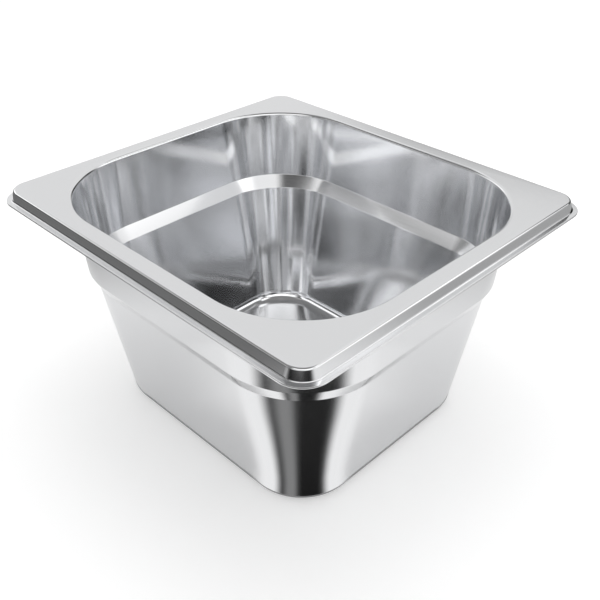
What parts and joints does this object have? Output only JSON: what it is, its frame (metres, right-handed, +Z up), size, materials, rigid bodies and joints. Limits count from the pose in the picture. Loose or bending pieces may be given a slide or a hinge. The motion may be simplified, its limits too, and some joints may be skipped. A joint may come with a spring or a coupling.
{
  "type": "food pan",
  "caption": "Deep-drawn rectangular steel food pan with tapered walls, a stacking shoulder, rounded corners and a flat rim with a turned-down skirt and lip.",
  "frame": {"origin": "centre of the underside of the floor, on the plane the pan stands on", "axes": "+X along the longer side of the rim, +Y along the shorter side, +Z up out of the mouth"},
  "size_m": [0.176, 0.162, 0.1],
  "materials": {
    "stainless_steel": "smooth satin stainless steel sheet with a bright, slightly cool reflection"
  },
  "bodies": {
    "root": {"pan_body": "stainless_steel"}
  },
  "joints": []
}
